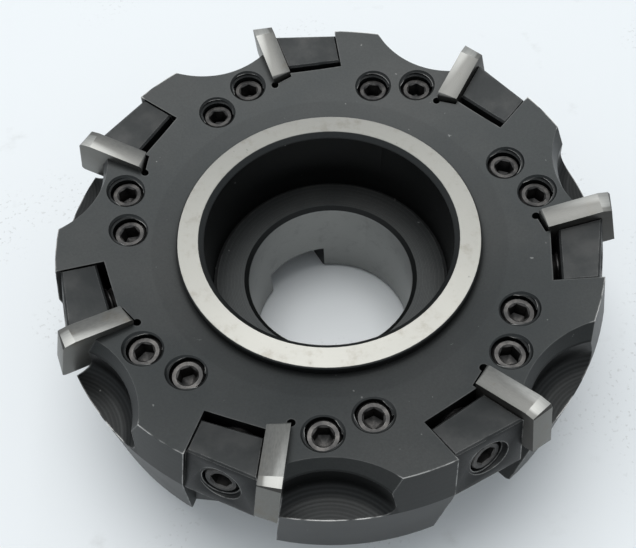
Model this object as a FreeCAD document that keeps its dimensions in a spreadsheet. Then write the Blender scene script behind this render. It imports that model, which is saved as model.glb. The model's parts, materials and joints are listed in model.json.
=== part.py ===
"""Indexable face mill: a slotted cutter body with wedge-clamped inserts.

Frame: millimetres, +Z is the cutter axis and points to the cutting face, and the
origin is the centre of the arbor bore on the back face. Teeth are numbered
clockwise as seen from the cutting face. Tooth 1's outer face screw stands at
first_tooth_angle, measured from +X.
"""
import FreeCAD, Part
import math
import os

import Sketcher

V = FreeCAD.Vector
AXIS_X = V(1, 0, 0)
AXIS_Y = V(0, 1, 0)
AXIS_Z = V(0, 0, 1)
TOOTH_COUNT = 7

# Driving sizes in millimetres and degrees: alias, value, meaning.
SIZES = [
    ("cut_diameter", 125, "cutting diameter, at the outer end of the wiper facets"),
    ("first_tooth_angle", 59.5, "where tooth 1 stands about the axis"),
    # the turned body
    ("body_height", 45.8, "back face to the top of the ground ring"),
    ("bore_diameter", 40, "arbor bore"),
    ("bore_chamfer", 1.1, "chamfer at both ends of the bore"),
    ("counterbore_diameter", 57, "counterbore for the arbor's clamping screw"),
    ("counterbore_depth", 18.6, "ring top to the screw seat"),
    ("seat_groove_width", 0.8, "relief groove round the screw seat"),
    ("seat_groove_depth", 0.5, "depth of that groove"),
    ("ring_diameter", 69.2, "outside of the ground ring"),
    ("ring_chamfer", 1.2, "chamfer on the ring's inner edge"),
    ("ring_edge", 0.3, "broken outer edge of the ring"),
    ("dish_angle", 12, "slope of the dished face"),
    ("dish_level_gap", 16.7, "cutting radius to where the dish is level with the ring"),
    ("rim_gap", 1.6, "cutting radius to the rim of the face"),
    ("waist_proud", 1.0, "how far the widest part stands outside the cutting radius"),
    ("flange_low_gap", 0.2, "cutting radius to the lower end of the flange"),
    ("flange_edge", 0.8, "chamfer on the flange's lower edge"),
    ("flange_height", 31.5, "ring top to the flange's underside"),
    ("hub_diameter", 90, "boss on the back"),
    ("hub_chamfer", 1.0, "chamfer on the boss"),
    ("drive_slot_width", 16.4, "slot across the back for the arbor's drive keys"),
    ("drive_slot_depth", 9, "depth of the drive slot"),
    ("drive_slot_angle", 117, "where the drive slot stands about the axis"),
    # how an insert sits
    ("seat_yaw", -5, "insert's length against the tooth's radius, in plan"),
    ("seat_rake", 6, "axial rake of the insert"),
    ("lead_angle", 15, "insert turned in its own plane, for a 75 degree entering angle"),
    ("chip_wall_offset", 2.35, "tooth's radius to the insert's chip face, square to it"),
    ("tip_height", 5.4, "ring top to the wiper facet"),
    # insert
    ("insert_length", 15.875, "insert, along its upper edge"),
    ("insert_height", 12.7, "insert, along its cutting edge"),
    ("insert_thickness", 4.76, "insert thickness"),
    ("insert_relief", 11, "relief angle of all four flanks"),
    ("insert_wiper", 2.4, "length of the wiper facet"),
    ("insert_nose", 0.8, "chamfer between the wiper facet and the cutting edge"),
    ("insert_corner", 1.0, "radius of the other corners"),
    ("insert_end_gap", 0.8, "insert's inner end to the end of its seat"),
    ("seat_relief", 0.9, "radius of the relief drilled in the seat's inner corner"),
    ("seat_gap", 0.02, "fit between an insert or wedge and the walls it bears on"),
    # wedge and its screw
    ("wedge_angle", 11.5, "taper of the wedge, wider at the outside"),
    ("wedge_root_width", 12.9, "slot width behind the insert, at its inner wall"),
    ("wedge_end_gap", 1.9, "wedge's inner end to the slot's inner wall"),
    ("wedge_tall", 14, "wedge height, square to its screw"),
    ("wedge_outer_gap", 3.0, "cutting radius to the wedge's outer face, at the screw"),
    ("wedge_skew", 7.5, "outer face turned to follow the rim"),
    ("wedge_edge", 0.4, "chamfer round the wedge's upper face"),
    ("slot_depth", 17.5, "ring top to the floor under the wedge"),
    ("slot_end_gap", 16.0, "cutting radius to the slot's inner wall"),
    ("open_gap", 8.0, "cutting radius to where the slot is open right through"),
    ("screw_incline", 12.5, "wedge screw's slope, rising outwards"),
    ("screw_drop", 5.37, "ring top to the wedge screw, at the wedge's outer face"),
    ("screw_side", 7.6, "insert's back face to the wedge screw, at the outer face"),
    ("screw_diameter", 8, "M8 screws"),
    ("screw_fit", 0.04, "radial clearance of a screw in its hole"),
    ("screw_hex", 4, "across the flats of the screws' sockets"),
    ("screw_hex_depth", 4.2, "depth of the screws' sockets"),
    ("screw_chamfer", 0.75, "chamfer on the screws' ends"),
    ("wedge_screw_length", 24, "length of a wedge screw"),
    ("wedge_screw_sunk", 0.6, "wedge screw's end below the wedge's outer face"),
    ("wedge_mouth_margin", 0.61, "how much wider the hole's mouth in the wedge is, all round"),
    ("wedge_mouth_depth", 0.6, "depth of that mouth"),
    ("wedge_screw_start", 4.8, "wedge's outer face to where its screw's hole starts to be cut"),
    ("hole_runout", 2, "how much deeper a threaded hole is than its screw"),
    # the fourteen screws in the face
    ("face_screw_length", 16, "length of a face screw"),
    ("face_screw_sunk", 1.5, "face screw's end below the face"),
    ("outer_screw_gap", 13.46, "cutting radius to the outer face screw"),
    ("inner_screw_gap", 16.67, "cutting radius to the inner face screw"),
    ("inner_screw_angle", 12.65, "inner face screw's angle ahead of the outer one"),
    ("face_hole_mouth", 0.45, "countersink at the mouth of a face screw's hole"),
    # gullet
    ("gullet_radius", 18.4, "radius of the scooped chip pocket"),
    ("gullet_out", 11.9, "cutting radius to the pocket's centre, further out"),
    ("gullet_angle", 1.2, "pocket's centre ahead of the tooth's radius"),
    ("gullet_depth", 9.1, "ring top to the pocket's floor"),
    ("gullet_fillet", 3.4, "radius round the pocket's floor"),
    ("flare_depth", 1.4, "ring top to where the pocket's wall starts to flare"),
    ("flare_angle", 27, "slope of that flare, from upright"),
]

# Sizes that are worked out from the driving ones.
DERIVED = [
    ("cut_radius", "=cut_diameter / 2"),
    ("bore_radius", "=bore_diameter / 2"),
    ("counterbore_radius", "=counterbore_diameter / 2"),
    ("ring_radius", "=ring_diameter / 2"),
    ("hub_radius", "=hub_diameter / 2"),
    ("seat_level", "=body_height - counterbore_depth"),
    ("underside", "=body_height - flange_height"),
    ("floor_level", "=body_height - gullet_depth"),
    ("dish_slope", "=tan(dish_angle * 1deg)"),
    ("dish_radius", "=cut_radius - dish_level_gap"),
    ("rim_radius", "=cut_radius - rim_gap"),
    ("rim_level", "=body_height + (rim_radius - dish_radius) * dish_slope"),
    ("ring_foot_level", "=body_height + (ring_radius - dish_radius) * dish_slope"),
    ("waist_radius", "=cut_radius + waist_proud"),
    ("flange_low_radius", "=cut_radius - flange_low_gap"),
    ("over", "=tip_height + 15"),
    ("screw_radius", "=screw_diameter / 2"),
    ("screw_hole_radius", "=screw_radius + screw_fit"),
    ("hex_corner", "=screw_hex / sqrt(3)"),
    ("land_slope", "=tan(wedge_angle * 1deg)"),
    ("flare_slope", "=tan(flare_angle * 1deg)"),
    ("slot_inner", "=cut_radius - slot_end_gap"),
    ("wedge_inner", "=slot_inner + wedge_end_gap"),
    ("open_inner", "=cut_radius - open_gap"),
    ("far", "=cut_radius + over"),
    ("seat_back", "=-(chip_wall_offset + insert_thickness)"),
    ("slot_root", "=seat_back - wedge_root_width"),
    ("wiper_rise", "=insert_wiper * sin(lead_angle * 1deg)"),
    ("insert_outer", "=insert_nose / 2"),
    ("insert_inner", "=insert_outer - insert_length"),
    ("insert_foot", "=wiper_rise - insert_height"),
]

doc = FreeCAD.newDocument("face_mill")
sheet = doc.addObject("Spreadsheet::Sheet", "dims")


def fill_sheet():
    """Write every size into the sheet, with its alias and meaning."""
    row = 1
    for name, value, meaning in SIZES:
        sheet.set("A%d" % row, meaning)
        sheet.set("B%d" % row, str(value))
        sheet.setAlias("B%d" % row, name)
        row += 1
    for name, formula in DERIVED:
        sheet.set("A%d" % row, "worked out")
        sheet.set("B%d" % row, formula)
        sheet.setAlias("B%d" % row, name)
        row += 1
    doc.recompute()


fill_sheet()


def number(expression):
    """The value of an expression on the sheet's aliases."""
    result = sheet.evalExpression(str(expression))
    return float(getattr(result, "Value", result))


def bound(expression):
    """The same expression as other objects write it, with dims. before each alias."""
    names = [row[0] for row in SIZES] + [row[0] for row in DERIVED]
    text = ""
    word = ""
    for letter in str(expression) + " ":
        if letter.isalnum() or letter == "_":
            word += letter
            continue
        text += "dims." + word if word in names else word
        text += letter
        word = ""
    return text.strip()


def turned(axis, degrees):
    """A placement that only turns."""
    return FreeCAD.Placement(V(0, 0, 0), FreeCAD.Rotation(axis, degrees))


def moved(x, y, z):
    """A placement that only moves."""
    return FreeCAD.Placement(V(x, y, z), FreeCAD.Rotation())


# Frames. Each one is a placement in the tooth's own frame, whose X runs through
# the tooth's outer face screw and whose origin is the part's.
UPRIGHT = turned(AXIS_X, 90)
ringed = moved(0, 0, number("body_height"))
seat = ringed * turned(AXIS_Z, number("seat_yaw")) * turned(AXIS_X, -number("seat_rake"))
seat_tip = seat * moved(number("cut_radius"), -number("chip_wall_offset"), number("tip_height"))
insert_frame = seat_tip * turned(AXIS_Y, -number("lead_angle"))
screw_frame = (
    seat
    * moved(
        number("cut_radius - wedge_outer_gap"),
        -number("chip_wall_offset + insert_thickness + screw_side"),
        -number("screw_drop"),
    )
    * turned(AXIS_Z, -number("wedge_angle"))
    * turned(AXIS_Y, -number("screw_incline"))
    * turned(AXIS_X, number("seat_rake"))
)


def tooth_frame(index):
    """Where tooth number index + 1 stands in the part's frame."""
    return turned(AXIS_Z, number("first_tooth_angle") - index * 360.0 / TOOTH_COUNT)


def new_body(label, placement):
    """An empty body with its name and place."""
    body = doc.addObject("PartDesign::Body", label)
    body.Label = label
    body.Placement = placement
    return body


def origin_feature(body, role):
    """One of the body's own origin planes or axes."""
    for feature in body.Origin.OriginFeatures:
        if feature.Role == role:
            return feature
    raise ValueError(role)


def new_sketch(body, name, offset=FreeCAD.Placement()):
    """A sketch on the body's XY plane, moved and turned by offset."""
    sketch = body.newObject("Sketcher::SketchObject", name)
    sketch.AttachmentSupport = [(origin_feature(body, "XY_Plane"), "")]
    sketch.MapMode = "FlatFace"
    sketch.AttachmentOffset = offset
    return sketch


def pin_point(sketch, line, end, x, y):
    """Fix one end of a sketch line at x, y, given as expressions."""
    for kind, axis, text in (("DistanceX", -2, x), ("DistanceY", -1, y)):
        if abs(number(text)) < 1e-9:
            sketch.addConstraint(Sketcher.Constraint("PointOnObject", line, end, axis))
            continue
        rule = sketch.addConstraint(Sketcher.Constraint(kind, -1, 1, line, end, number(text)))
        sketch.setExpression("Constraints[%d]" % rule, bound(text))


def arc_between(start, end, radius):
    """The anticlockwise arc from start to end, less than half a turn."""
    chord = end - start
    rise = math.sqrt(radius ** 2 - chord.Length ** 2 / 4)
    centre = (start + end) / 2 + V(-chord.y, chord.x, 0).normalize() * rise
    from_angle = math.atan2(start.y - centre.y, start.x - centre.x)
    to_angle = math.atan2(end.y - centre.y, end.x - centre.x)
    return Part.ArcOfCircle(Part.Circle(centre, AXIS_Z, radius), from_angle, to_angle)


def draw_outline(sketch, corners, rounded=(), radius="0"):
    """A closed anticlockwise outline through corners, each a pair of expressions.

    The stretches that start at the corners numbered in rounded are arcs.
    """
    first = sketch.GeometryCount
    places = [V(number(x), number(y), 0) for x, y in corners]
    count = len(corners)
    for index in range(count):
        start, end = places[index], places[(index + 1) % count]
        if index in rounded:
            sketch.addGeometry(arc_between(start, end, number(radius)), False)
        else:
            sketch.addGeometry(Part.LineSegment(start, end), False)
    for index in range(count):
        after = first + (index + 1) % count
        sketch.addConstraint(Sketcher.Constraint("Coincident", first + index, 2, after, 1))
        pin_point(sketch, first + index, 1, *corners[index])
    for index in rounded:
        rule = Sketcher.Constraint("Radius", first + index, number(radius))
        sketch.setExpression("Constraints[%d]" % sketch.addConstraint(rule), bound(radius))


def draw_circle(sketch, x, y, radius):
    """A circle whose centre and radius are expressions."""
    circle = Part.Circle(V(number(x), number(y), 0), AXIS_Z, number(radius))
    index = sketch.addGeometry(circle, False)
    pin_point(sketch, index, 3, x, y)
    rule = sketch.addConstraint(Sketcher.Constraint("Radius", index, number(radius)))
    sketch.setExpression("Constraints[%d]" % rule, bound(radius))


def draw_hexagon(sketch, corner):
    """A hexagon about the sketch's origin; corner is the radius of its corners."""
    half = "(%s) / 2" % corner
    side = "(%s) * sqrt(3) / 2" % corner
    draw_outline(sketch, [
        (corner, "0"), (half, side), ("-" + half, side),
        ("-(%s)" % corner, "0"), ("-" + half, "-" + side), (half, "-" + side),
    ])


def revolve(body, sketch, kind, name):
    """Turn a sketch about its own vertical axis, to add or to remove."""
    feature = body.newObject(kind, name)
    feature.Profile = sketch
    feature.ReferenceAxis = (sketch, ["V_Axis"])
    feature.Angle = 360
    return feature


def pad(body, sketch, name, length, both_ways=False):
    """Extrude a sketch."""
    feature = body.newObject("PartDesign::Pad", name)
    feature.Profile = sketch
    feature.setExpression("Length", bound(length))
    feature.Midplane = both_ways
    return feature


def pocket(body, sketch, name, length, upwards=False, both_ways=False):
    """Cut a sketch away, down from its own plane unless upwards."""
    feature = body.newObject("PartDesign::Pocket", name)
    feature.Profile = sketch
    feature.setExpression("Length", bound(length))
    feature.Reversed = upwards
    feature.Midplane = both_ways
    return feature


def check_cuts(body, features):
    """Recompute after each feature and stop if one removes nothing."""
    for feature in features:
        doc.recompute()
        before = feature.BaseFeature.Shape.Volume
        if feature.Shape.Volume > before - 1e-3:
            raise ValueError("%s cuts nothing" % feature.Name)


# Cutter body: one turned blank, then the cuts of one tooth, repeated.

def turn_blank(body):
    """The turned blank: hub, flange, dished face, ground ring, counterbore and bore."""
    sketch = new_sketch(body, "turned_section", UPRIGHT)
    draw_outline(sketch, [
        ("bore_radius", "bore_chamfer"),
        ("bore_radius + bore_chamfer", "0"),
        ("hub_radius - hub_chamfer", "0"),
        ("hub_radius", "hub_chamfer"),
        ("hub_radius", "underside"),
        ("flange_low_radius - flange_edge", "underside"),
        ("flange_low_radius", "underside + flange_edge"),
        ("waist_radius", "floor_level"),
        ("rim_radius", "rim_level"),
        ("ring_radius", "ring_foot_level"),
        ("ring_radius", "body_height - ring_edge"),
        ("ring_radius - ring_edge", "body_height"),
        ("counterbore_radius + ring_chamfer", "body_height"),
        ("counterbore_radius", "body_height - ring_chamfer"),
        ("counterbore_radius", "seat_level - seat_groove_depth"),
        ("counterbore_radius - seat_groove_width", "seat_level - seat_groove_depth"),
        ("counterbore_radius - seat_groove_width", "seat_level"),
        ("bore_radius + bore_chamfer", "seat_level"),
        ("bore_radius", "seat_level - bore_chamfer"),
    ])
    return revolve(body, sketch, "PartDesign::Revolution", "blank")


def cut_drive_slot(body):
    """The slot across the back that the arbor's two keys drive."""
    angle = number("drive_slot_angle - first_tooth_angle")
    sketch = new_sketch(body, "drive_slot_outline", turned(AXIS_Z, angle))
    half = "drive_slot_width / 2"
    reach = "(hub_radius + 1)"
    draw_outline(sketch, [
        ("-" + reach, "-" + half), (reach, "-" + half), (reach, half), ("-" + reach, half),
    ])
    return pocket(body, sketch, "drive_slot", "drive_slot_depth", upwards=True)


def cut_wedge_slot(body):
    """The slot that holds the wedge, behind the insert's back face."""
    sketch = new_sketch(body, "wedge_slot_outline", seat * moved(0, 0, number("over")))
    draw_outline(sketch, [
        ("slot_inner", "slot_root"),
        ("far", "slot_root - (far - slot_inner) * land_slope"),
        ("far", "seat_back"),
        ("slot_inner + wedge_root_width * land_slope", "seat_back"),
    ])
    return pocket(body, sketch, "wedge_slot", "slot_depth + over")


def cut_insert_seat(body):
    """The insert's seat: chip wall, end wall and a floor square to the cutting edge."""
    sketch = new_sketch(body, "insert_seat_outline", insert_frame * UPRIGHT)
    draw_outline(sketch, [
        ("insert_inner - insert_end_gap", "insert_foot - seat_gap"),
        ("over", "insert_foot - seat_gap"),
        ("over", "over"),
        ("insert_inner - insert_end_gap", "over"),
    ])
    # the sketch faces the insert's back, so the cut runs along its normal
    feature = pocket(body, sketch, "insert_seat", "insert_thickness + seat_gap", upwards=True)
    feature.setExpression("TaperAngle", "-dims.insert_relief")
    return feature


def cut_seat_relief(body):
    """A small drilled relief where the end wall meets the chip wall."""
    sketch = new_sketch(body, "seat_relief_circle", insert_frame * moved(0, 0, number("over")))
    draw_circle(sketch, "insert_inner - insert_end_gap", "0", "seat_relief")
    return pocket(body, sketch, "corner_relief", "over - insert_foot + seat_gap")


def cut_open_end(body):
    """Outside the seats the slot runs right down through the flange."""
    sketch = new_sketch(body, "open_end_outline", seat * moved(0, 0, number("over")))
    draw_outline(sketch, [
        ("open_inner", "slot_root - (open_inner - slot_inner) * land_slope"),
        ("far", "slot_root - (far - slot_inner) * land_slope"),
        ("far", "-chip_wall_offset"),
        ("open_inner", "-chip_wall_offset"),
    ])
    return pocket(body, sketch, "open_end", "over + body_height")


def cut_gullet(body):
    """The chip pocket: a scooped cylinder with a filleted floor and a flared edge."""
    angle = math.radians(number("gullet_angle"))
    reach = number("cut_radius + gullet_out")
    centre = moved(reach * math.cos(angle), reach * math.sin(angle), number("body_height"))
    sketch = new_sketch(body, "gullet_section", centre * UPRIGHT)
    draw_outline(sketch, [
        ("0", "-gullet_depth"),
        ("gullet_radius - gullet_fillet", "-gullet_depth"),
        ("gullet_radius", "-gullet_depth + gullet_fillet"),
        ("gullet_radius", "-flare_depth"),
        ("gullet_radius + (over + flare_depth) * flare_slope", "over"),
        ("0", "over"),
    ], rounded=(1,), radius="gullet_fillet")
    return revolve(body, sketch, "PartDesign::Groove", "gullet")


def cut_wedge_screw_hole(body):
    """The threaded hole that the wedge screw pulls against."""
    start = screw_frame * moved(-number("wedge_screw_start"), 0, 0)
    sketch = new_sketch(body, "wedge_screw_circle", start * turned(AXIS_Y, 90))
    draw_circle(sketch, "0", "0", "screw_hole_radius")
    depth = "wedge_screw_length + wedge_screw_sunk + hole_runout - wedge_screw_start"
    return pocket(body, sketch, "wedge_screw_hole", depth)


def face_screw_place(gap, degrees):
    """Where the axis of a face screw meets the dished face, X pointing outwards."""
    reach = number("cut_radius - " + gap)
    level = number("body_height + (cut_radius - %s - dish_radius) * dish_slope" % gap)
    return turned(AXIS_Z, degrees) * moved(reach, 0, level)


FACE_SCREWS = (
    ("outer", face_screw_place("outer_screw_gap", 0)),
    ("inner", face_screw_place("inner_screw_gap", number("inner_screw_angle"))),
)


def cut_face_screw_hole(body, which, place):
    """A drilled and tapped hole in the face, with the drill's cone at its end."""
    sketch = new_sketch(body, which + "_hole_section", place * UPRIGHT)
    depth = "(face_screw_length + face_screw_sunk + hole_runout)"
    draw_outline(sketch, [
        ("0", "-%s - screw_hole_radius / sqrt(3)" % depth),
        ("screw_hole_radius", "-" + depth),
        ("screw_hole_radius", "over"),
        ("0", "over"),
    ])
    return revolve(body, sketch, "PartDesign::Groove", which + "_face_screw_hole")


def cut_face_hole_mouth(body, which, place):
    """The countersink at the mouth of that hole, square to the sloping face."""
    square = place * turned(AXIS_Y, -number("dish_angle")) * UPRIGHT
    sketch = new_sketch(body, which + "_mouth_section", square)
    draw_outline(sketch, [
        ("0", "-(screw_hole_radius + face_hole_mouth)"),
        ("screw_hole_radius + face_hole_mouth + 1", "1"),
        ("0", "1"),
    ])
    return revolve(body, sketch, "PartDesign::Groove", which + "_face_hole_mouth")


def repeat_round(body, features):
    """Repeat the cuts of one tooth round the axis."""
    feature = body.newObject("PartDesign::PolarPattern", "teeth")
    feature.Originals = features
    feature.Axis = (origin_feature(body, "Z_Axis"), [""])
    feature.Angle = 360
    feature.Occurrences = TOOTH_COUNT
    body.Tip = feature
    return feature


def make_cutter_body():
    """The whole cutter body."""
    body = new_body("cutter_body", tooth_frame(0))
    turn_blank(body)
    drive_slot = cut_drive_slot(body)
    tooth_cuts = [
        cut_wedge_slot(body),
        cut_insert_seat(body),
        cut_seat_relief(body),
        cut_open_end(body),
        cut_gullet(body),
        cut_wedge_screw_hole(body),
    ]
    for which, place in FACE_SCREWS:
        tooth_cuts.append(cut_face_screw_hole(body, which, place))
        tooth_cuts.append(cut_face_hole_mouth(body, which, place))
    check_cuts(body, [drive_slot] + tooth_cuts)
    repeat_round(body, tooth_cuts)
    return body


def make_insert(index):
    """A carbide insert with relief on its flanks and a wiper facet at the tip."""
    body = new_body("insert_%d" % (index + 1), tooth_frame(index) * insert_frame)
    sketch = new_sketch(body, "insert_outline_%d" % (index + 1), UPRIGHT)
    draw_outline(sketch, [
        ("insert_inner + insert_corner", "insert_foot"),
        ("insert_outer - insert_corner", "insert_foot"),
        ("insert_outer", "insert_foot + insert_corner"),
        ("insert_outer", "-insert_nose"),
        ("0", "0"),
        ("-insert_wiper * cos(lead_angle * 1deg)", "wiper_rise"),
        ("insert_inner + insert_corner", "wiper_rise"),
        ("insert_inner", "wiper_rise - insert_corner"),
        ("insert_inner", "insert_foot + insert_corner"),
    ], rounded=(1, 6, 8), radius="insert_corner")
    slab = pad(body, sketch, "insert_slab_%d" % (index + 1), "insert_thickness")
    slab.setExpression("TaperAngle", "-dims.insert_relief")
    return body


def flat_edges(shape, point, normal):
    """Names of the shape's edges that lie in a plane."""
    names = []
    for index, edge in enumerate(shape.Edges):
        ends = [vertex.Point for vertex in edge.Vertexes]
        middle = edge.valueAt((edge.FirstParameter + edge.LastParameter) / 2)
        if all(abs((place - point).dot(normal)) < 1e-4 for place in ends + [middle]):
            names.append("Edge%d" % (index + 1))
    return names


def make_wedge(index):
    """A clamping wedge: tapered flanks, trimmed square to its screw, and bored for it."""
    tag = "_%d" % (index + 1)
    body = new_body("clamping_wedge" + tag, tooth_frame(index) * seat)
    local = seat.inverse() * screw_frame
    flanks = new_sketch(body, "wedge_outline" + tag)
    draw_outline(flanks, [
        ("wedge_inner", "slot_root - (wedge_inner - slot_inner) * land_slope + seat_gap"),
        ("far", "slot_root - (far - slot_inner) * land_slope + seat_gap"),
        ("far", "seat_back - seat_gap"),
        ("wedge_inner + wedge_root_width * land_slope", "seat_back - seat_gap"),
    ])
    pad(body, flanks, "wedge_bar" + tag, "body_height * 2", both_ways=True)
    side = local * turned(AXIS_Z, -number("wedge_skew")) * UPRIGHT
    around = new_sketch(body, "wedge_trim_outline" + tag, side)
    big = "body_height * 2"
    draw_outline(around, [
        ("-" + big, "-" + big), (big, "-" + big), (big, big), ("-" + big, big),
    ])
    half = "wedge_tall / 2"
    inside = "-(cut_radius / 2)"
    draw_outline(around, [(inside, "-" + half), ("0", "-" + half), ("0", half), (inside, half)])
    trim = pocket(body, around, "wedge_trim" + tag, big, both_ways=True)
    bore = new_sketch(body, "wedge_bore_circle" + tag, local * moved(2, 0, 0) * turned(AXIS_Y, 90))
    draw_circle(bore, "0", "0", "screw_hole_radius")
    hole = pocket(body, bore, "wedge_bore" + tag, "cut_radius / 2")
    mouth = new_sketch(body, "wedge_mouth_circle" + tag, local * moved(2, 0, 0) * turned(AXIS_Y, 90))
    draw_circle(mouth, "0", "0", "screw_hole_radius + wedge_mouth_margin")
    counterbore = pocket(body, mouth, "wedge_mouth" + tag, "2 + wedge_mouth_depth")
    check_cuts(body, [trim, hole, counterbore])
    upper = local * moved(0, 0, number(half))
    edges = flat_edges(counterbore.Shape, upper.Base, upper.Rotation.multVec(AXIS_Z))
    chamfer = body.newObject("PartDesign::Chamfer", "wedge_edge_break" + tag)
    chamfer.Base = (counterbore, edges)
    chamfer.setExpression("Size", "dims.wedge_edge")
    return body


def make_screw(label, place, length):
    """A socket set screw whose socket's mouth is at its own origin, facing +Z."""
    body = new_body(label, place)
    section = new_sketch(body, label + "_section", UPRIGHT)
    draw_outline(section, [
        ("0", "-" + length),
        ("screw_radius - screw_chamfer", "-" + length),
        ("screw_radius", "-%s + screw_chamfer" % length),
        ("screw_radius", "-screw_chamfer"),
        ("screw_radius - screw_chamfer", "0"),
        ("0", "0"),
    ])
    revolve(body, section, "PartDesign::Revolution", label + "_shank")
    socket_outline = new_sketch(body, label + "_socket_outline")
    draw_hexagon(socket_outline, "hex_corner")
    socket = pocket(body, socket_outline, label + "_socket", "screw_hex_depth")
    check_cuts(body, [socket])
    return body


def make_wedge_screw(index):
    """The screw that draws one wedge into its slot."""
    sunk = moved(-number("wedge_screw_sunk"), 0, 0)
    place = tooth_frame(index) * screw_frame * sunk * turned(AXIS_Y, 90)
    return make_screw("wedge_screw_%d" % (index + 1), place, "wedge_screw_length")


def make_face_screw(index, which, place):
    """One of the two screws in the face beside each tooth."""
    sunk = moved(0, 0, -number("face_screw_sunk"))
    label = "%s_face_screw_%d" % (which, index + 1)
    return make_screw(label, tooth_frame(index) * place * sunk, "face_screw_length")


parts = [make_cutter_body()]
for tooth in range(TOOTH_COUNT):
    parts.append(make_insert(tooth))
    parts.append(make_wedge(tooth))
    parts.append(make_wedge_screw(tooth))
    for which, place in FACE_SCREWS:
        parts.append(make_face_screw(tooth, which, place))
doc.recompute()


def check_document():
    """Stop if any object failed, or any part is empty or not valid."""
    for item in doc.Objects:
        if "Invalid" in item.State or "Error" in item.State:
            raise ValueError("%s failed: %s" % (item.Name, item.State))
    for part in parts:
        if part.Shape.isNull() or not part.Shape.isValid() or not part.Shape.Solids:
            raise ValueError("%s has no valid solid" % part.Label)


check_document()
os.makedirs("parts", exist_ok=True)
for part in parts:
    part.Shape.exportStep("parts/%s.step" % part.Label)
    print("%-22s %9.1f mm3  %d faces" % (part.Label, part.Shape.Volume, len(part.Shape.Faces)))
print("pieces: %d" % len(parts))
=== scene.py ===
"""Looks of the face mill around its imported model: finishes, threads, table and light."""

import json
import math

import bmesh
import bpy
from mathutils import Euler, Matrix, Vector


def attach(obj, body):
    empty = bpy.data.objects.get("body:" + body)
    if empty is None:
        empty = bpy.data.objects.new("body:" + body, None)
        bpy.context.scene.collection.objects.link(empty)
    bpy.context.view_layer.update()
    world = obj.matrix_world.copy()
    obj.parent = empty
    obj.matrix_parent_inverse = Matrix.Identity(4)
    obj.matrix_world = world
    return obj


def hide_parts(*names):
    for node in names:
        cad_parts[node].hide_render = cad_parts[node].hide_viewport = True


MM = 0.001
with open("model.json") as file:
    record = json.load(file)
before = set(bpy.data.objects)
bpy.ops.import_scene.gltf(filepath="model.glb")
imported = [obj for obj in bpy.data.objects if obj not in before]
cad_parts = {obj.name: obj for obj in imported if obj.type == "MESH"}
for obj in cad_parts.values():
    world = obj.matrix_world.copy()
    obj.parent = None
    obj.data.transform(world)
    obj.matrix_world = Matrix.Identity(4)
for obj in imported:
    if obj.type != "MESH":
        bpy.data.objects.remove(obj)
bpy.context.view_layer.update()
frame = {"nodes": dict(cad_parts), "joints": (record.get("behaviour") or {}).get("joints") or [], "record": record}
nodes = frame["nodes"]
joints = {joint["name"]: joint for joint in frame["joints"]}
mounts = {mount["name"]: mount for mount in frame["record"]["mounts"]}
TEETH = range(1, 8)
TOOTH_STEP = math.tau / len(TEETH)

# Camera: a hand-held close-up from above and in front, tipped a little to one side.
CAMERA_PLACE = Vector((-3.0, -116.8, 213.3)) * MM
CAMERA_TARGET = Vector((-3.0, -11.3, 45.8)) * MM
CAMERA_ROLL = math.radians(-3.83)
CAMERA_LENS = 50.92
SENSOR_WIDTH = 36
camera_data = bpy.data.cameras.new("camera")
camera_data.sensor_width = SENSOR_WIDTH
camera_data.lens = CAMERA_LENS
camera_data.clip_start = 5 * MM
camera = bpy.data.objects.new("camera", camera_data)
aim = (CAMERA_TARGET - CAMERA_PLACE).to_track_quat("-Z", "Y").to_matrix().to_4x4()
camera.matrix_world = Matrix.Translation(CAMERA_PLACE) @ aim @ Matrix.Rotation(CAMERA_ROLL, 4, "Z")
bpy.context.scene.collection.objects.link(camera)
bpy.context.scene.camera = camera
bpy.context.scene.view_settings.view_transform = "Standard"


# Cutter body: one turned and milled block of alloy steel, blacked all over, with
# its ring, bore and back ground bright afterwards. The finish follows the frame:
# turning marks run round the axis, and milling marks round each chip pocket.
BORE_RADIUS = mounts["arbor_bore"]["dims"]["r_mm"] * MM
SEAT_LEVEL = mounts["screw_seat"]["pos_m"][2]
RING_LEVEL = 45.8 * MM
RING_RADIUS = 34.6 * MM
COUNTERBORE_RADIUS = 28.5 * MM
FACE_CREASE_RADIUS = 40.5 * MM
RIM_WEAR_RADIUS = 60.6 * MM
GULLET_REACH = 74.4 * MM
GULLET_RADIUS = 18.5 * MM
GULLET_TURN = math.radians(1.2)
GULLET_FLOOR = 36.7 * MM
BLACK_OXIDE = (0.031, 0.034, 0.034, 1)
BLACK_OXIDE_WORN = (0.044, 0.046, 0.045, 1)
BARE_STEEL = (0.30, 0.30, 0.29, 1)
# The black that painted shade blends towards in corners and on upright walls.
PAINTED_SHADE_BLACK = (0.008, 0.008, 0.009, 1)
PLAIN_SHEEN = 0.5
GROUND_STEEL = (0.282, 0.279, 0.256, 1)
GROUND_STAIN = (0.19, 0.175, 0.148, 1)
BORE_STEEL = (0.28, 0.285, 0.277, 1)


def add_node(tree, kind, **settings):
    """A shader node with its settings."""
    node = tree.nodes.new("ShaderNode" + kind)
    for key, value in settings.items():
        setattr(node, key, value)
    return node


def wire(tree, value, socket):
    """Link an output to a socket, or set the socket's own value."""
    if isinstance(value, bpy.types.NodeSocket):
        tree.links.new(value, socket)
    else:
        socket.default_value = value


def reckon(tree, operation, *values):
    """A Math node on one, two or three values."""
    node = add_node(tree, "Math", operation=operation)
    for index, value in enumerate(values):
        wire(tree, value, node.inputs[index])
    return node.outputs[0]


def ramp(tree, value, low, high, start=0.0, end=1.0):
    """A value stretched from low..high to start..end, and held there outside."""
    node = add_node(tree, "MapRange", interpolation_type="SMOOTHSTEP")
    for socket, number in zip(node.inputs, (value, low, high, start, end)):
        wire(tree, number, socket)
    return node.outputs[0]


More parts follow.
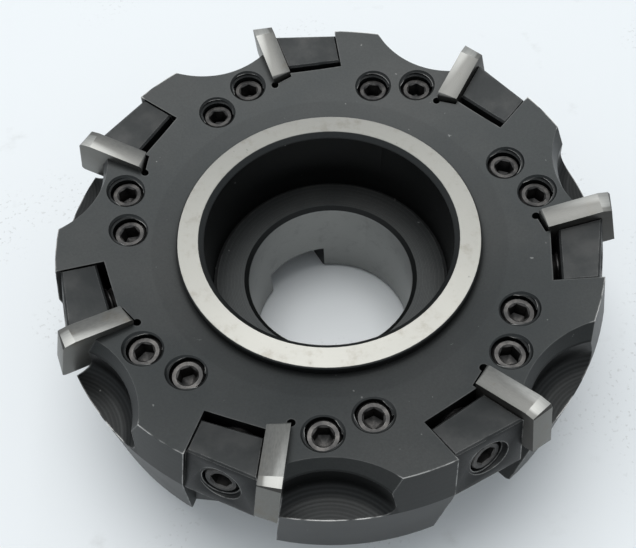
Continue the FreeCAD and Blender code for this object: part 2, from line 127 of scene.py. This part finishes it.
def blend_colour(tree, amount, first, second):
    """Two colours mixed by an amount."""
    node = add_node(tree, "Mix", data_type="RGBA")
    wire(tree, amount, node.inputs["Factor"])
    wire(tree, first, node.inputs[6])
    wire(tree, second, node.inputs[7])
    return node.outputs[2]


def blend_value(tree, amount, first, second):
    """Two numbers mixed by an amount."""
    step = reckon(tree, "SUBTRACT", second, first)
    return reckon(tree, "MULTIPLY_ADD", amount, step, first)


def from_axis(tree, x, y):
    """Distance from the cutter's axis."""
    square = reckon(tree, "MULTIPLY_ADD", x, x, reckon(tree, "MULTIPLY", y, y))
    return reckon(tree, "SQRT", square)


def speckle(tree, place, scale, detail=3.0, roughness=0.55):
    """Noise over a place."""
    node = add_node(tree, "TexNoise")
    wire(tree, place, node.inputs["Vector"])
    node.inputs["Scale"].default_value = scale
    node.inputs["Detail"].default_value = detail
    node.inputs["Roughness"].default_value = roughness
    return node.outputs["Fac"]


def new_group(name, inputs, outputs):
    """A shader node group with named sockets; returns its tree, entry and exit."""
    tree = bpy.data.node_groups.new(name, "ShaderNodeTree")
    for label, kind, value in inputs:
        socket = tree.interface.new_socket(label, in_out="INPUT", socket_type="NodeSocket" + kind)
        if value is not None:
            socket.default_value = value
    for label, kind in outputs:
        tree.interface.new_socket(label, in_out="OUTPUT", socket_type="NodeSocket" + kind)
    return tree, tree.nodes.new("NodeGroupInput").outputs, tree.nodes.new("NodeGroupOutput").inputs


def place_group(tree, group, **values):
    """A copy of a node group in a tree, with its inputs set or wired."""
    node = add_node(tree, "Group")
    node.node_tree = group
    for label, value in values.items():
        wire(tree, value, node.inputs[label.replace("_", " ")])
    return node.outputs


def make_edge_wear():
    """Outer corners that handling has rubbed bright, broken up by noise."""
    tree, given, result = new_group(
        "edge wear",
        [("Place", "Vector", None), ("Width", "Float", 0.3 * MM), ("Patches", "Float", 400.0)],
        [("Worn", "Float")])
    corner = add_node(tree, "AmbientOcclusion", inside=True, only_local=True, samples=6)
    wire(tree, given["Width"], corner.inputs["Distance"])
    rubbed = ramp(tree, corner.outputs["AO"], 0.94, 0.60)
    patch = add_node(tree, "TexNoise")
    wire(tree, given["Place"], patch.inputs["Vector"])
    wire(tree, given["Patches"], patch.inputs["Scale"])
    patch.inputs["Detail"].default_value = 4.0
    broken = ramp(tree, patch.outputs["Fac"], 0.32, 0.56)
    wire(tree, reckon(tree, "MULTIPLY", rubbed, broken), result["Worn"])
    return tree


def make_painted_crevice_shade():
    """Painted shade: how deep in a corner or a slot a point lies, for darkening the colour there."""
    tree, given, result = new_group("painted_crevice_shade", [("Reach", "Float", 3 * MM)], [("Painted shade", "Float")])
    hollow = add_node(tree, "AmbientOcclusion", only_local=False, samples=6)
    wire(tree, given["Reach"], hollow.inputs["Distance"])
    wire(tree, ramp(tree, hollow.outputs["AO"], 0.75, 0.15), result["Painted shade"])
    return tree


def make_tool_rings():
    """Fine rings that a turning or milling tool leaves at a steady feed."""
    tree, given, result = new_group(
        "tool rings",
        [("Distance", "Float", 0.0), ("Feed", "Float", 0.25 * MM), ("Place", "Vector", None)],
        [("Ridge", "Float")])
    stretch = reckon(tree, "DIVIDE", given["Distance"], given["Feed"])
    uneven = speckle(tree, given["Place"], 60.0)
    wave = reckon(tree, "SINE", reckon(tree, "MULTIPLY_ADD", stretch, math.tau, uneven))
    lines = add_node(tree, "CombineXYZ")
    wire(tree, reckon(tree, "MULTIPLY", stretch, 0.37), lines.inputs["X"])
    streak = speckle(tree, lines.outputs[0], 1.7, 5.0)
    wire(tree, reckon(tree, "MULTIPLY_ADD", wave, 0.18, streak), result["Ridge"])
    return tree


edge_wear = make_edge_wear()
painted_crevice_shade = make_painted_crevice_shade()
tool_rings = make_tool_rings()


def new_finish(name):
    """An empty material: its tree, its shader and Object coordinates."""
    material = bpy.data.materials.new(name)
    material.use_nodes = True
    tree = material.node_tree
    shader = tree.nodes["Principled BSDF"]
    place = add_node(tree, "TexCoord").outputs["Object"]
    return material, tree, shader, place


def relief(tree, height, depth, shader, strength=1.0):
    """A Bump node of a height map, wired to the shader's normal."""
    bump = add_node(tree, "Bump")
    bump.inputs["Strength"].default_value = strength
    bump.inputs["Distance"].default_value = depth
    wire(tree, height, bump.inputs["Height"])
    wire(tree, bump.outputs[0], shader.inputs["Normal"])


def make_tooth_place(first_angle):
    """Distance from the nearest chip pocket's axis, for a point on the body."""
    tree, given, result = new_group("pocket distance", [("Place", "Vector", None)], [("Distance", "Float")])
    split = add_node(tree, "SeparateXYZ")
    wire(tree, given["Place"], split.inputs[0])
    x, y = split.outputs[0], split.outputs[1]
    radius = from_axis(tree, x, y)
    angle = reckon(tree, "SUBTRACT", reckon(tree, "ARCTAN2", y, x), first_angle)
    folded = reckon(tree, "WRAP", angle, TOOTH_STEP / 2, -TOOTH_STEP / 2)
    across = reckon(tree, "MULTIPLY", radius, reckon(tree, "SINE", folded))
    inward = reckon(tree, "MULTIPLY", radius, reckon(tree, "COSINE", folded))
    along = reckon(tree, "SUBTRACT", inward, GULLET_REACH)
    square = reckon(tree, "MULTIPLY_ADD", along, along, reckon(tree, "MULTIPLY", across, across))
    wire(tree, reckon(tree, "SQRT", square), result["Distance"])
    return tree


def tinted(tree, colour, tone):
    """A colour multiplied by a grey tone."""
    grey = add_node(tree, "CombineXYZ")
    for socket in grey.inputs:
        wire(tree, tone, socket)
    product = add_node(tree, "Mix", data_type="RGBA", blend_type="MULTIPLY")
    product.inputs["Factor"].default_value = 1.0
    wire(tree, colour, product.inputs[6])
    wire(tree, grey.outputs[0], product.inputs[7])
    return product.outputs[2]


def painted_flank_shade(tree, deepest_shade):
    """Painted shade: darker on upright walls than on level ones, by the world-space normal."""
    facing = add_node(tree, "SeparateXYZ")
    wire(tree, add_node(tree, "NewGeometry").outputs["Normal"], facing.inputs[0])
    return ramp(tree, facing.outputs[2], 0.3, 0.85, deepest_shade, 1.0)


def band(tree, value, low, high, soft=0.05 * MM):
    """1 between low and high, 0 outside."""
    rising = ramp(tree, value, low - soft, low + soft)
    falling = ramp(tree, value, high - soft, high + soft, 1.0, 0.0)
    return reckon(tree, "MULTIPLY", rising, falling)


def body_finish():
    """Black oxide on turned and milled steel, with the ring, bore and back ground, and painted shade in the
    pockets, counterbore, corners and on upright walls.
    """
    material, tree, shader, place = new_finish("black oxide steel")
    split = add_node(tree, "SeparateXYZ")
    wire(tree, place, split.inputs[0])
    x, y, level = split.outputs
    radius = from_axis(tree, x, y)
    outer = joints["outer_face_screw_1_turn"]["pos_m"]
    pocket_group = make_tooth_place(math.atan2(outer[1], outer[0]) + GULLET_TURN)
    pocket_distance = place_group(tree, pocket_group, Place=place)["Distance"]

    ring = reckon(tree, "MULTIPLY", band(tree, radius, COUNTERBORE_RADIUS, RING_RADIUS + 0.05 * MM),
                  ramp(tree, level, RING_LEVEL - 0.12 * MM, RING_LEVEL - 0.02 * MM))
    bore = ramp(tree, radius, BORE_RADIUS + 0.02 * MM, BORE_RADIUS + 0.12 * MM, 1.0, 0.0)
    back = ramp(tree, level, 0.02 * MM, 0.1 * MM, 1.0, 0.0)
    in_pocket = reckon(tree, "MULTIPLY",
                       ramp(tree, pocket_distance, GULLET_RADIUS + 0.02 * MM, GULLET_RADIUS + 0.2 * MM, 1.0, 0.0),
                       ramp(tree, level, GULLET_FLOOR - 0.2 * MM, GULLET_FLOOR - 0.05 * MM))
    in_counterbore = ramp(tree, radius, COUNTERBORE_RADIUS + 0.05 * MM,
                          COUNTERBORE_RADIUS + 0.2 * MM, 1.0, 0.0)
    seat_floor = reckon(tree, "MULTIPLY", ramp(tree, level, SEAT_LEVEL - 0.15 * MM, SEAT_LEVEL - 0.02 * MM),
                        ramp(tree, level, SEAT_LEVEL + 0.05 * MM, SEAT_LEVEL + 0.2 * MM, 1.0, 0.0))

    cloud = speckle(tree, place, 28.0, 4.0)
    grain = speckle(tree, place, 1900.0, 3.0, 0.7)
    worn = place_group(tree, edge_wear, Place=place, Width=0.32 * MM, Patches=310.0)["Worn"]
    crevice_shade = place_group(tree, painted_crevice_shade, Reach=4.5 * MM)["Painted shade"]
    turned_rings = place_group(tree, tool_rings, Distance=radius, Feed=0.35 * MM, Place=place)["Ridge"]
    milled_rings = place_group(tree, tool_rings, Distance=pocket_distance, Feed=0.8 * MM, Place=place)["Ridge"]
    depth_rings = place_group(tree, tool_rings, Distance=level, Feed=0.4 * MM, Place=place)["Ridge"]

    oxide = blend_colour(tree, ramp(tree, cloud, 0.35, 0.7), BLACK_OXIDE, BLACK_OXIDE_WORN)
    rim = ramp(tree, radius, RIM_WEAR_RADIUS - 1.0 * MM, RIM_WEAR_RADIUS, 0.12, 1.0)
    worn = reckon(tree, "MULTIPLY", worn, rim)
    shade = reckon(tree, "MULTIPLY_ADD", grain, 0.5, 0.75)
    inner_face = ramp(tree, radius, FACE_CREASE_RADIUS - 0.3 * MM, FACE_CREASE_RADIUS + 0.3 * MM, 0.90, 1.0)
    shade = reckon(tree, "MULTIPLY", shade, inner_face)
    # Painted shade: the chip pockets darkened to 38 % of the face's tone.
    shade = reckon(tree, "MULTIPLY", shade, reckon(tree, "MULTIPLY_ADD", in_pocket, -0.62, 1.0))
    # Painted shade: the counterbore darkened by half, its screw seat floor lifted an eighth brighter.
    counterbore_shade = reckon(tree, "SUBTRACT", in_counterbore, reckon(tree, "MULTIPLY", seat_floor, 1.25))
    shade = reckon(tree, "MULTIPLY", shade, reckon(tree, "MULTIPLY_ADD", counterbore_shade, -0.5, 1.0))
    # Painted shade: upright walls darkened down to 60 %, their specular lowered with them.
    flank_shade = painted_flank_shade(tree, 0.6)
    shade = reckon(tree, "MULTIPLY", shade, flank_shade)
    wire(tree, reckon(tree, "MULTIPLY", flank_shade, PLAIN_SHEEN), shader.inputs["Specular IOR Level"])
    ridge_tone = ramp(tree, turned_rings, 0.35, 0.85, 0.65, 1.15)
    shade = reckon(tree, "MULTIPLY", shade, blend_value(tree, seat_floor, 1.0, ridge_tone))
    milled_tone = ramp(tree, milled_rings, 0.35, 0.85, 0.75, 1.5)
    shade = reckon(tree, "MULTIPLY", shade, blend_value(tree, in_pocket, 1.0, milled_tone))
    # Painted shade: corners and slots darkened by up to 55 %.
    shade = reckon(tree, "MULTIPLY", shade, reckon(tree, "MULTIPLY_ADD", crevice_shade, -0.55, 1.0))
    shaded = tinted(tree, oxide, shade)
    speck = ramp(tree, speckle(tree, place, 620.0, 2.0, 0.5), 0.74, 0.79)
    bare = reckon(tree, "MAXIMUM", worn, reckon(tree, "MULTIPLY", speck, 0.35))
    colour = blend_colour(tree, bare, shaded, BARE_STEEL)
    stain = ramp(tree, speckle(tree, place, 240.0, 6.0, 0.68), 0.50, 0.78, 0.0, 0.7)
    ground = blend_colour(tree, stain, GROUND_STEEL, GROUND_STAIN)
    pits = ramp(tree, speckle(tree, place, 420.0, 3.0, 0.5), 0.70, 0.76, 0.0, 0.6)
    ground = blend_colour(tree, pits, ground, BLACK_OXIDE_WORN)
    colour = blend_colour(tree, reckon(tree, "MAXIMUM", ring, back), colour, ground)
    bore_colour = blend_colour(tree, reckon(tree, "MULTIPLY", stain, 0.35), BORE_STEEL, BLACK_OXIDE_WORN)
    colour = blend_colour(tree, bore, colour, bore_colour)
    wire(tree, colour, shader.inputs["Base Color"])

    bright = reckon(tree, "MAXIMUM", reckon(tree, "MAXIMUM", ring, back), reckon(tree, "MAXIMUM", bore, worn))
    wire(tree, reckon(tree, "MULTIPLY_ADD", bright, 0.25, 0.70), shader.inputs["Metallic"])
    rough = reckon(tree, "MULTIPLY_ADD", cloud, 0.16, 0.34)
    rough = reckon(tree, "MULTIPLY_ADD", bright, -0.06, rough)
    wire(tree, reckon(tree, "MULTIPLY_ADD", crevice_shade, 0.2, rough), shader.inputs["Roughness"])

    face_marks = reckon(tree, "MULTIPLY", turned_rings, reckon(tree, "SUBTRACT", 1.0, in_pocket))
    pocket_marks = reckon(tree, "MULTIPLY", reckon(tree, "ADD", milled_rings, depth_rings), in_pocket)
    height = reckon(tree, "ADD", face_marks, reckon(tree, "MULTIPLY", pocket_marks, 1.6))
    height = reckon(tree, "MULTIPLY_ADD", grain, 0.5, height)
    relief(tree, height, 0.012 * MM, shader, 0.6)
    return material


def dress(piece, material):
    """Give a piece one material."""
    piece.data.materials.clear()
    piece.data.materials.append(material)


dress(nodes["cutter_body"], body_finish())


# Inserts: seven blanks of sintered carbide, ground on every side and clamped in
# their seats. Grinding leaves fine lines along the chip face and the flanks.
CARBIDE = (0.170, 0.169, 0.158, 1)
CARBIDE_FACET = (0.34, 0.34, 0.322, 1)
CARBIDE_DARK = (0.045, 0.043, 0.040, 1)
CARBIDE_STAIN = (0.15, 0.13, 0.10, 1)
GRIND_STRETCH = (120.0, 3200.0, 3200.0)
INSERT_EDGE = 0.07 * MM
SEAT_RAKE = math.radians(6)
SEAT_YAW = math.radians(5)


def insert_finish(tooth_angle):
    """Ground carbide, its lines along the insert of one tooth."""
    material, tree, shader, place = new_finish("ground carbide")
    local = add_node(tree, "Mapping", vector_type="TEXTURE")
    wire(tree, place, local.inputs["Vector"])
    local.inputs["Rotation"].default_value = Euler((-SEAT_RAKE, 0, tooth_angle - SEAT_YAW))
    stretch = add_node(tree, "Mapping")
    wire(tree, local.outputs[0], stretch.inputs["Vector"])
    stretch.inputs["Scale"].default_value = GRIND_STRETCH
    lines = speckle(tree, stretch.outputs[0], 1.0, 4.0, 0.6)
    facing = add_node(tree, "Mapping", vector_type="TEXTURE")
    wire(tree, add_node(tree, "NewGeometry").outputs["Normal"], facing.inputs["Vector"])
    facing.inputs["Rotation"].default_value = local.inputs["Rotation"].default_value
    outward = add_node(tree, "SeparateXYZ")
    wire(tree, facing.outputs[0], outward.inputs[0])
    back = ramp(tree, outward.outputs[1], -0.75, -0.9, 0.0, 1.0)
    facet = ramp(tree, outward.outputs[2], 0.955, 0.972)
    nose = reckon(tree, "MULTIPLY", ramp(tree, outward.outputs[0], 0.5, 0.6),
                  ramp(tree, outward.outputs[2], 0.4, 0.5))

    stain = ramp(tree, speckle(tree, place, 170.0, 4.0, 0.6), 0.54, 0.80, 0.0, 0.6)
    specks = ramp(tree, speckle(tree, place, 520.0, 2.0, 0.5), 0.70, 0.76, 0.0, 0.5)
    worn = place_group(tree, edge_wear, Place=place, Width=0.16 * MM, Patches=500.0)["Worn"]
    crevice_shade = place_group(tree, painted_crevice_shade, Reach=2.0 * MM)["Painted shade"]
    colour = blend_colour(tree, reckon(tree, "MAXIMUM", stain, specks), CARBIDE, CARBIDE_STAIN)
    colour = blend_colour(tree, facet, colour, CARBIDE_FACET)
    colour = blend_colour(tree, reckon(tree, "MULTIPLY", nose, 0.8), colour, CARBIDE_DARK)
    colour = blend_colour(tree, reckon(tree, "MULTIPLY", back, 0.85), colour, CARBIDE_DARK)
    # Painted shade: corners and narrow gaps blended up to 80 % towards dark carbide.
    colour = blend_colour(tree, reckon(tree, "MULTIPLY", crevice_shade, 0.8), colour, CARBIDE_DARK)
    colour = blend_colour(tree, reckon(tree, "MULTIPLY", worn, 0.35), colour, CARBIDE_FACET)
    tone = ramp(tree, lines, 0.25, 0.75, 0.88, 1.08)
    wire(tree, tinted(tree, colour, tone), shader.inputs["Base Color"])
    shader.inputs["Metallic"].default_value = 0.85
    wire(tree, ramp(tree, lines, 0.2, 0.8, 0.36, 0.50), shader.inputs["Roughness"])
    relief(tree, lines, 0.006 * MM, shader, 0.6)
    return material


def bevelled_copy(node_name, label, edge, sharp=math.radians(12)):
    """A new piece with the node's shape and small real bevels on its sharp edges."""
    shape = bmesh.new()
    shape.from_mesh(nodes[node_name].data)
    bmesh.ops.remove_doubles(shape, verts=shape.verts, dist=0.002 * MM)
    bmesh.ops.dissolve_limit(shape, angle_limit=math.radians(0.6), verts=shape.verts, edges=shape.edges)
    corners = [e for e in shape.edges if len(e.link_faces) == 2 and e.calc_face_angle() > sharp]
    bmesh.ops.bevel(shape, geom=corners, offset=edge, segments=2, profile=0.5, affect="EDGES",
                    material=-1, clamp_overlap=True)
    bmesh.ops.recalc_face_normals(shape, faces=shape.faces)
    mesh = bpy.data.meshes.new(label)
    shape.to_mesh(mesh)
    shape.free()
    mesh.shade_smooth()
    mesh.set_sharp_from_angle(angle=math.radians(50))
    piece = bpy.data.objects.new(label, mesh)
    bpy.context.scene.collection.objects.link(piece)
    return piece


for tooth in TEETH:
    spot = joints["outer_face_screw_%d_turn" % tooth]["pos_m"]
    insert = bevelled_copy("insert_%d" % tooth, "ground_insert_%d" % tooth, INSERT_EDGE)
    dress(insert, insert_finish(math.atan2(spot[1], spot[0])))
    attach(insert, "root")
    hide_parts("insert_%d" % tooth)


# Clamping wedges: hardened steel bars, sawn and milled to a taper, dull black.
WEDGE_BLACK = (0.027, 0.029, 0.029, 1)
WEDGE_PALE = (0.046, 0.047, 0.046, 1)
WEDGE_EDGE = 0.10 * MM


def plain_black_finish(name, dark_tone, pale_tone, patches, shine, wear_width):
    """A dull black steel with cloudy tone, fine grain and rubbed corners, and painted shade in corners and on
    upright walls.
    """
    material, tree, shader, place = new_finish(name)
    cloud = speckle(tree, place, patches, 4.0)
    grain = speckle(tree, place, 2300.0, 3.0, 0.7)
    worn = place_group(tree, edge_wear, Place=place, Width=wear_width, Patches=420.0)["Worn"]
    crevice_shade = place_group(tree, painted_crevice_shade, Reach=2.5 * MM)["Painted shade"]
    colour = blend_colour(tree, ramp(tree, cloud, 0.35, 0.7), dark_tone, pale_tone)
    # Painted shade: corners, slots and sockets blended up to 75 % towards black.
    colour = blend_colour(tree, reckon(tree, "MULTIPLY", crevice_shade, 0.75), colour, PAINTED_SHADE_BLACK)
    # Painted shade: upright walls blended up to half way to black, their specular lowered with them.
    flank_shade = painted_flank_shade(tree, 0.5)
    wire(tree, reckon(tree, "MULTIPLY", flank_shade, PLAIN_SHEEN), shader.inputs["Specular IOR Level"])
    colour = blend_colour(tree, flank_shade, PAINTED_SHADE_BLACK, colour)
    colour = blend_colour(tree, worn, colour, BARE_STEEL)
    wire(tree, colour, shader.inputs["Base Color"])
    shader.inputs["Metallic"].default_value = 0.7
    wire(tree, reckon(tree, "MULTIPLY_ADD", grain, 0.2, shine), shader.inputs["Roughness"])
    relief(tree, grain, 0.010 * MM, shader, 0.6)
    return material


wedge_finish = plain_black_finish("dull black wedge steel", WEDGE_BLACK, WEDGE_PALE, 140.0, 0.38, 0.3 * MM)
for tooth in TEETH:
    name = "clamping_wedge_%d" % tooth
    wedge = bevelled_copy(name, "broken_edge_wedge_%d" % tooth, WEDGE_EDGE)
    dress(wedge, wedge_finish)
    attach(wedge, "wedge_%d" % tooth)
    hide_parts(name)


# Screws: M8 set screws with a 4 mm socket, rolled threads and a black finish. Each
# one is spun as a helix, cut to length, chamfered at both ends and broached.
SCREW_BLACK = (0.040, 0.039, 0.038, 1)
SCREW_BROWN = (0.105, 0.099, 0.093, 1)
CREST = 3.96 * MM
ROOT = 3.42 * MM
PITCH = 1.25 * MM
SCREW_CHAMFER = 0.75 * MM
SOCKET_CORNER = 4 / math.sqrt(3) * MM
SOCKET_DEPTH = 4.2 * MM
SOCKET_MOUTH = 0.3 * MM
SOCKET_RIM = 2.45 * MM
STEPS_A_TURN = 24
SCREW_KINDS = {
    "wedge_screw": (24 * MM, 0.6 * MM),
    "outer_face_screw": (16 * MM, 1.5 * MM),
    "inner_face_screw": (16 * MM, 1.5 * MM),
}


def open_loop(shape, level):
    """The open edges of a shape at one height."""
    loop = []
    for edge in shape.edges:
        if edge.is_boundary and all(abs(v.co.z - level) < 0.01 * MM for v in edge.verts):
            loop.append(edge)
    return loop


def spun_thread(length):
    """A threaded blank from z = 0 down to -length, open at both ends."""
    shape = bmesh.new()
    turns = math.ceil(length / PITCH) + 2
    profile = ((ROOT, 0.0), (CREST, 0.42), (CREST, 0.58), (ROOT, 1.0))
    start = -length - PITCH
    corners = [shape.verts.new((radius, 0, start + PITCH * rise)) for radius, rise in profile]
    sides = [shape.edges.new(pair) for pair in zip(corners, corners[1:])]
    bmesh.ops.spin(shape, geom=corners + sides, cent=(0, 0, 0), axis=(0, 0, 1),
                   dvec=(0, 0, PITCH / STEPS_A_TURN), angle=turns * math.tau,
                   steps=turns * STEPS_A_TURN, use_merge=False, use_duplicate=False)
    bmesh.ops.remove_doubles(shape, verts=shape.verts, dist=0.002 * MM)
    for level, clear_above, clear_below in ((0, True, False), (-length, False, True)):
        bmesh.ops.bisect_plane(shape, geom=shape.verts[:] + shape.edges[:] + shape.faces[:],
                               plane_co=(0, 0, level), plane_no=(0, 0, 1),
                               clear_outer=clear_above, clear_inner=clear_below)
    for step in (1, 2, 3):
        for level in (-SCREW_CHAMFER * step / 3, -length + SCREW_CHAMFER * step / 3):
            bmesh.ops.bisect_plane(shape, geom=shape.verts[:] + shape.edges[:] + shape.faces[:],
                                   plane_co=(0, 0, level), plane_no=(0, 0, 1))
    for vert in shape.verts:
        from_end = min(-vert.co.z, length + vert.co.z)
        limit = CREST - SCREW_CHAMFER + from_end
        radius = vert.co.xy.length
        if from_end < SCREW_CHAMFER and radius > limit:
            vert.co.x *= limit / radius
            vert.co.y *= limit / radius
    return shape


def hexagon_reach(angle):
    """How far the socket's hexagon reaches in one direction."""
    return SOCKET_CORNER * math.cos(math.pi / 6) / math.cos(angle % (math.pi / 3) - math.pi / 6)


def socket_screw(length):
    """A whole set screw: threaded, flat at the far end, with a hexagon socket at z = 0."""
    shape = spun_thread(length)
    bmesh.ops.holes_fill(shape, edges=open_loop(shape, -length))
    end = bmesh.ops.holes_fill(shape, edges=open_loop(shape, 0))["faces"]
    stages = ((lambda angle: SOCKET_RIM, 0), (hexagon_reach, -SOCKET_MOUTH),
              (hexagon_reach, -SOCKET_DEPTH))
    for reach, level in stages:
        bmesh.ops.inset_individual(shape, faces=end, thickness=0.01 * MM)
        for vert in end[0].verts:
            angle = math.atan2(vert.co.y, vert.co.x)
            vert.co = reach(angle) * Vector((math.cos(angle), math.sin(angle), 0)) + Vector((0, 0, level))
    tip = bmesh.ops.poke(shape, faces=end)["verts"]
    bmesh.ops.translate(shape, verts=tip, vec=(0, 0, -SOCKET_CORNER / 2))
    bmesh.ops.recalc_face_normals(shape, faces=shape.faces)
    return shape


def placed_piece(shape, label, placement, sharp_angle):
    """A shape made into a piece, with its place in its mesh."""
    mesh = bpy.data.meshes.new(label)
    shape.to_mesh(mesh)
    mesh.transform(placement)
    mesh.shade_smooth()
    mesh.set_sharp_from_angle(angle=sharp_angle)
    piece = bpy.data.objects.new(label, mesh)
    bpy.context.scene.collection.objects.link(piece)
    return piece


def along_axis(joint, turn=0.0):
    """Where a joint's axis is Z and its place is the origin."""
    facing = Vector(joint["axis"]).to_track_quat("Z", "X").to_matrix().to_4x4()
    return Matrix.Translation(Vector(joint["pos_m"])) @ facing @ Matrix.Rotation(turn, 4, "Z")


screw_finish = plain_black_finish("blackened screw steel", SCREW_BLACK, SCREW_BROWN,
                                  420.0, 0.30, 0.12 * MM)
for number, (kind, (length, sunk)) in enumerate(SCREW_KINDS.items()):
    screw_shape = socket_screw(length)
    for tooth in TEETH:
        name = "%s_%d" % (kind, tooth)
        turn = 0.9 * tooth + 0.5 * number
        sinking = Matrix.Translation((0, 0, -sunk))
        screw = placed_piece(screw_shape, "threaded_" + name, along_axis(joints[name + "_turn"], turn) @ sinking,
                             math.radians(32))
        dress(screw, screw_finish)
        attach(screw, name)
        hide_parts(name)
    screw_shape.free()


# Tapped threads: the turns of each face screw's hole that show above the screw. They
# are cut in the body's own steel and run out at the countersink of the sloping face.
HOLE_RADIUS = 4.04 * MM
THREAD_CREST = 3.70 * MM
THREAD_START = -0.95 * MM
THREAD_TURNS = 2
MOUTH_DEPTH = 0.42 * MM
FACE_SLOPE = math.radians(12)
ROOT_SINK = 0.2 * MM
RIDGE_SHARE = 0.85


def tapped_turns(outward):
    """Two ridges of thread below the face, trimmed to its slope; outward is its uphill side."""
    shape = bmesh.new()
    root = HOLE_RADIUS + ROOT_SINK
    profile = ((root, 0.0), (THREAD_CREST, 0.44), (THREAD_CREST, 0.56), (root, 1.0))
    corners = [shape.verts.new((radius, 0, THREAD_START + PITCH * (rise - 0.5) * RIDGE_SHARE))
               for radius, rise in profile]
    sides = [shape.edges.new(pair) for pair in zip(corners, corners[1:] + corners[:1])]
    bmesh.ops.spin(shape, geom=corners + sides, cent=(0, 0, 0), axis=(0, 0, 1),
                   dvec=(0, 0, PITCH / STEPS_A_TURN), angle=THREAD_TURNS * math.tau,
                   steps=THREAD_TURNS * STEPS_A_TURN, use_merge=False, use_duplicate=False)
    uphill = Vector((math.cos(outward), math.sin(outward), 0))
    face_normal = Vector((0, 0, 1)) * math.cos(FACE_SLOPE) - uphill * math.sin(FACE_SLOPE)
    bmesh.ops.bisect_plane(shape, geom=shape.verts[:] + shape.edges[:] + shape.faces[:],
                           plane_co=(0, 0, -MOUTH_DEPTH), plane_no=face_normal, clear_outer=True)
    bmesh.ops.holes_fill(shape, edges=[edge for edge in shape.edges if edge.is_boundary])
    bmesh.ops.recalc_face_normals(shape, faces=shape.faces)
    return shape


thread_finish = plain_black_finish("tapped thread steel", WEDGE_BLACK, WEDGE_PALE, 420.0, 0.55, 0.08 * MM)
for tooth in TEETH:
    for kind in ("outer_face_screw", "inner_face_screw"):
        joint = joints["%s_%d_turn" % (kind, tooth)]
        x, y, z = joint["pos_m"]
        thread_shape = tapped_turns(math.atan2(y, x))
        thread = placed_piece(thread_shape, "tapped_thread_%s_%d" % (kind, tooth),
                              Matrix.Translation((x, y, z)), math.radians(32))
        thread_shape.free()
        dress(thread, thread_finish)
        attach(thread, "root")


# Table: a smooth white bench top with small smudges and dust, just clear of the back.
TABLE_SPAN = 1.6
TABLE_DROP = 0.05 * MM
TABLE_WHITE = (0.83, 0.855, 0.86, 1)
TABLE_SMUDGE = (0.60, 0.61, 0.60, 1)
sheet = bmesh.new()
bmesh.ops.create_grid(sheet, x_segments=1, y_segments=1, size=TABLE_SPAN / 2)
table_mesh = bpy.data.meshes.new("table")
sheet.to_mesh(table_mesh)
sheet.free()
table = bpy.data.objects.new("table", table_mesh)
table.location.z = -TABLE_DROP
bpy.context.scene.collection.objects.link(table)
table_material, tree, shader, place = new_finish("white table top")
smudge = ramp(tree, speckle(tree, place, 45.0, 6.0, 0.6), 0.62, 0.80, 0.0, 0.8)
dust = ramp(tree, speckle(tree, place, 800.0, 2.0, 0.5), 0.60, 0.68, 0.0, 0.6)
patches = ramp(tree, speckle(tree, place, 16.0, 2.0, 0.5), 0.52, 0.60)
smudge = reckon(tree, "MAXIMUM", smudge, reckon(tree, "MULTIPLY", dust, patches))
wire(tree, blend_colour(tree, smudge, TABLE_WHITE, TABLE_SMUDGE), shader.inputs["Base Color"])
shader.inputs["Roughness"].default_value = 0.45
table_mesh.materials.append(table_material)


# Light: a pale room and two wide soft lamps overhead, one of them behind the object.
ROOM_COLOUR = (0.90, 0.95, 1.0, 1)
ROOM_STRENGTH = 0.66
LAMPS = (
    ("lamp_over", (-0.04, 0.26, 1.05), 0.8, 6.3),
    ("lamp_side", (-0.9, 0.1, 0.7), 0.8, 0.3),
)
room = bpy.data.worlds.new("room")
room.use_nodes = True
room.node_tree.nodes["Background"].inputs["Color"].default_value = ROOM_COLOUR
room.node_tree.nodes["Background"].inputs["Strength"].default_value = ROOM_STRENGTH
bpy.context.scene.world = room
for name, spot, size, power in LAMPS:
    lamp_data = bpy.data.lights.new(name, "AREA")
    lamp_data.size = size
    lamp_data.energy = power
    lamp = bpy.data.objects.new(name, lamp_data)
    facing = (-Vector(spot)).to_track_quat("-Z", "Y").to_matrix().to_4x4()
    lamp.matrix_world = Matrix.Translation(Vector(spot)) @ facing
    bpy.context.scene.collection.objects.link(lamp)
